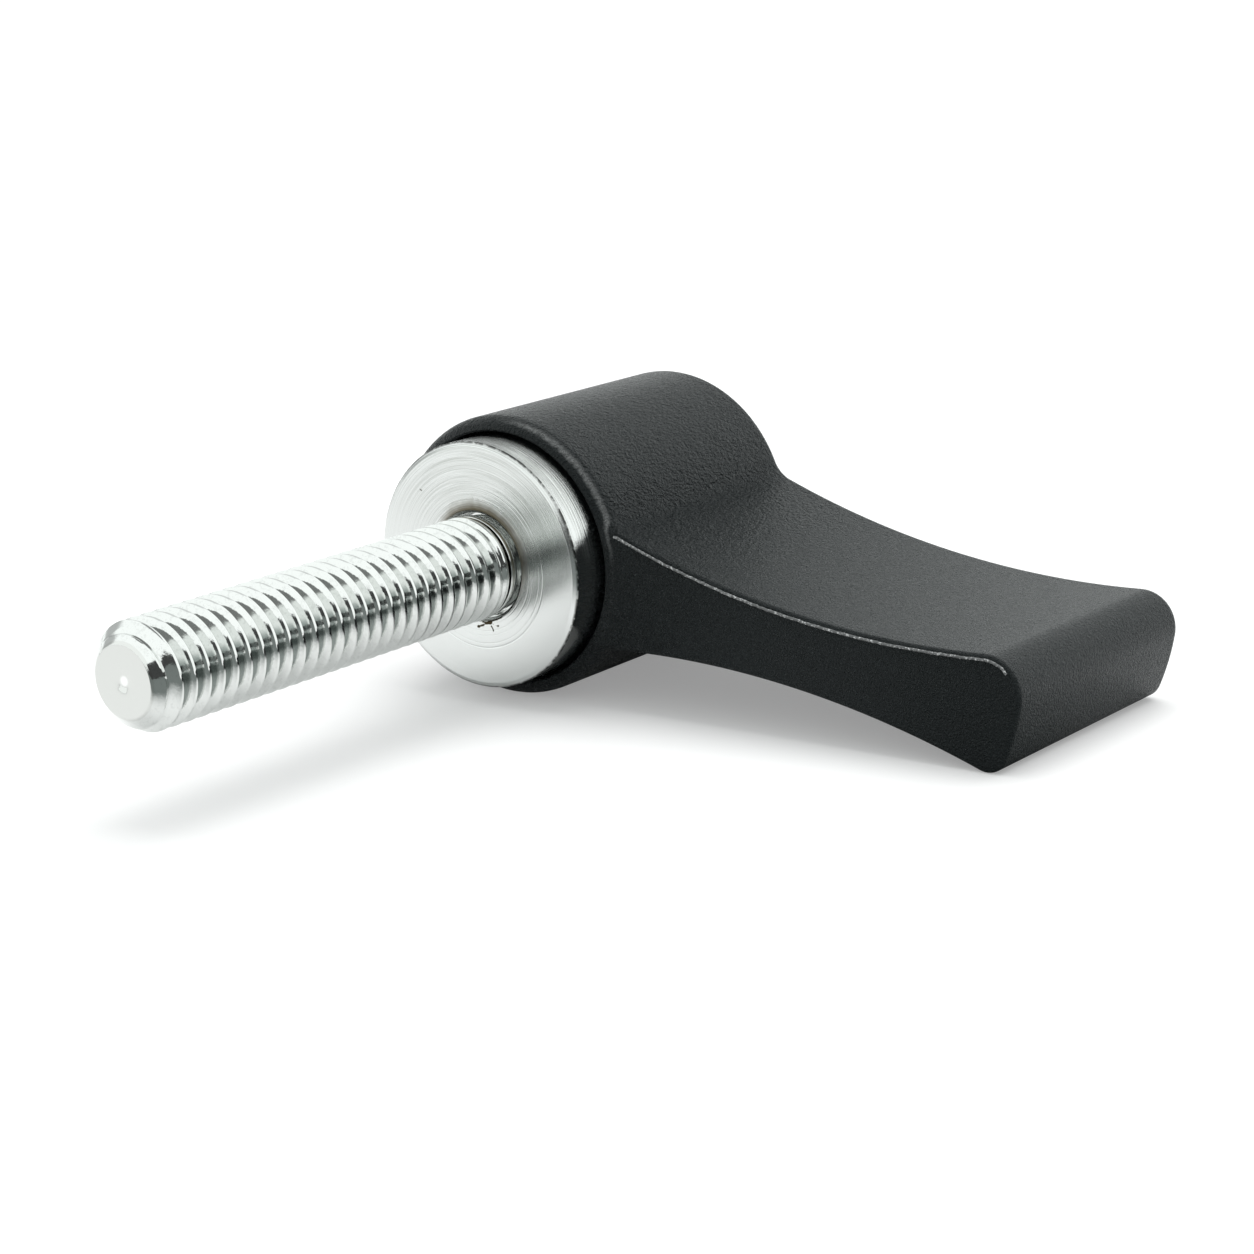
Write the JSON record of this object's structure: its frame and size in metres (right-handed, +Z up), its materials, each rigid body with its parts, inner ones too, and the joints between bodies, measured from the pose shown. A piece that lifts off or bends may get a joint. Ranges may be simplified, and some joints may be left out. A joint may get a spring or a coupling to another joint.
{
  "type": "thumb screw",
  "caption": "Threaded stud with a turned collar and a sideways lever handle that pulls out against a spring to be set to a new angle.",
  "frame": {"origin": "where the stud's axis crosses the clamp face, the front face of the collar", "axes": "-Y along the stud towards its tip, +Y into the hub; +X sideways towards the tip of the arm; +Z up from the surface that the hub and the foot of the arm lie on"},
  "size_m": [0.0417, 0.0469, 0.016],
  "materials": {
    "handle_coating": "fine pebbled black coating, satin",
    "turned_steel": "faced and turned, nickel plated",
    "plated_steel": "rolled thread, bright zinc plated",
    "spring_steel": "drawn wire, oiled",
    "screw_steel": "turned, zinc plated"
  },
  "bodies": {
    "stud": {"threaded_stud": "plated_steel", "collar_insert": "turned_steel", "retaining_screw": "screw_steel", "return_spring": "spring_steel"},
    "handle": {"lever_handle": "handle_coating"}
  },
  "joints": [
    {"name": "handle_pull", "type": "slide", "parent": "stud", "child": "handle", "axis": [0, 1, 0], "range_m": [0, 0.0032], "stiffness_N_per_m": 1200, "springref_m": -0.003, "deforming": ["return_spring"]}
  ]
}
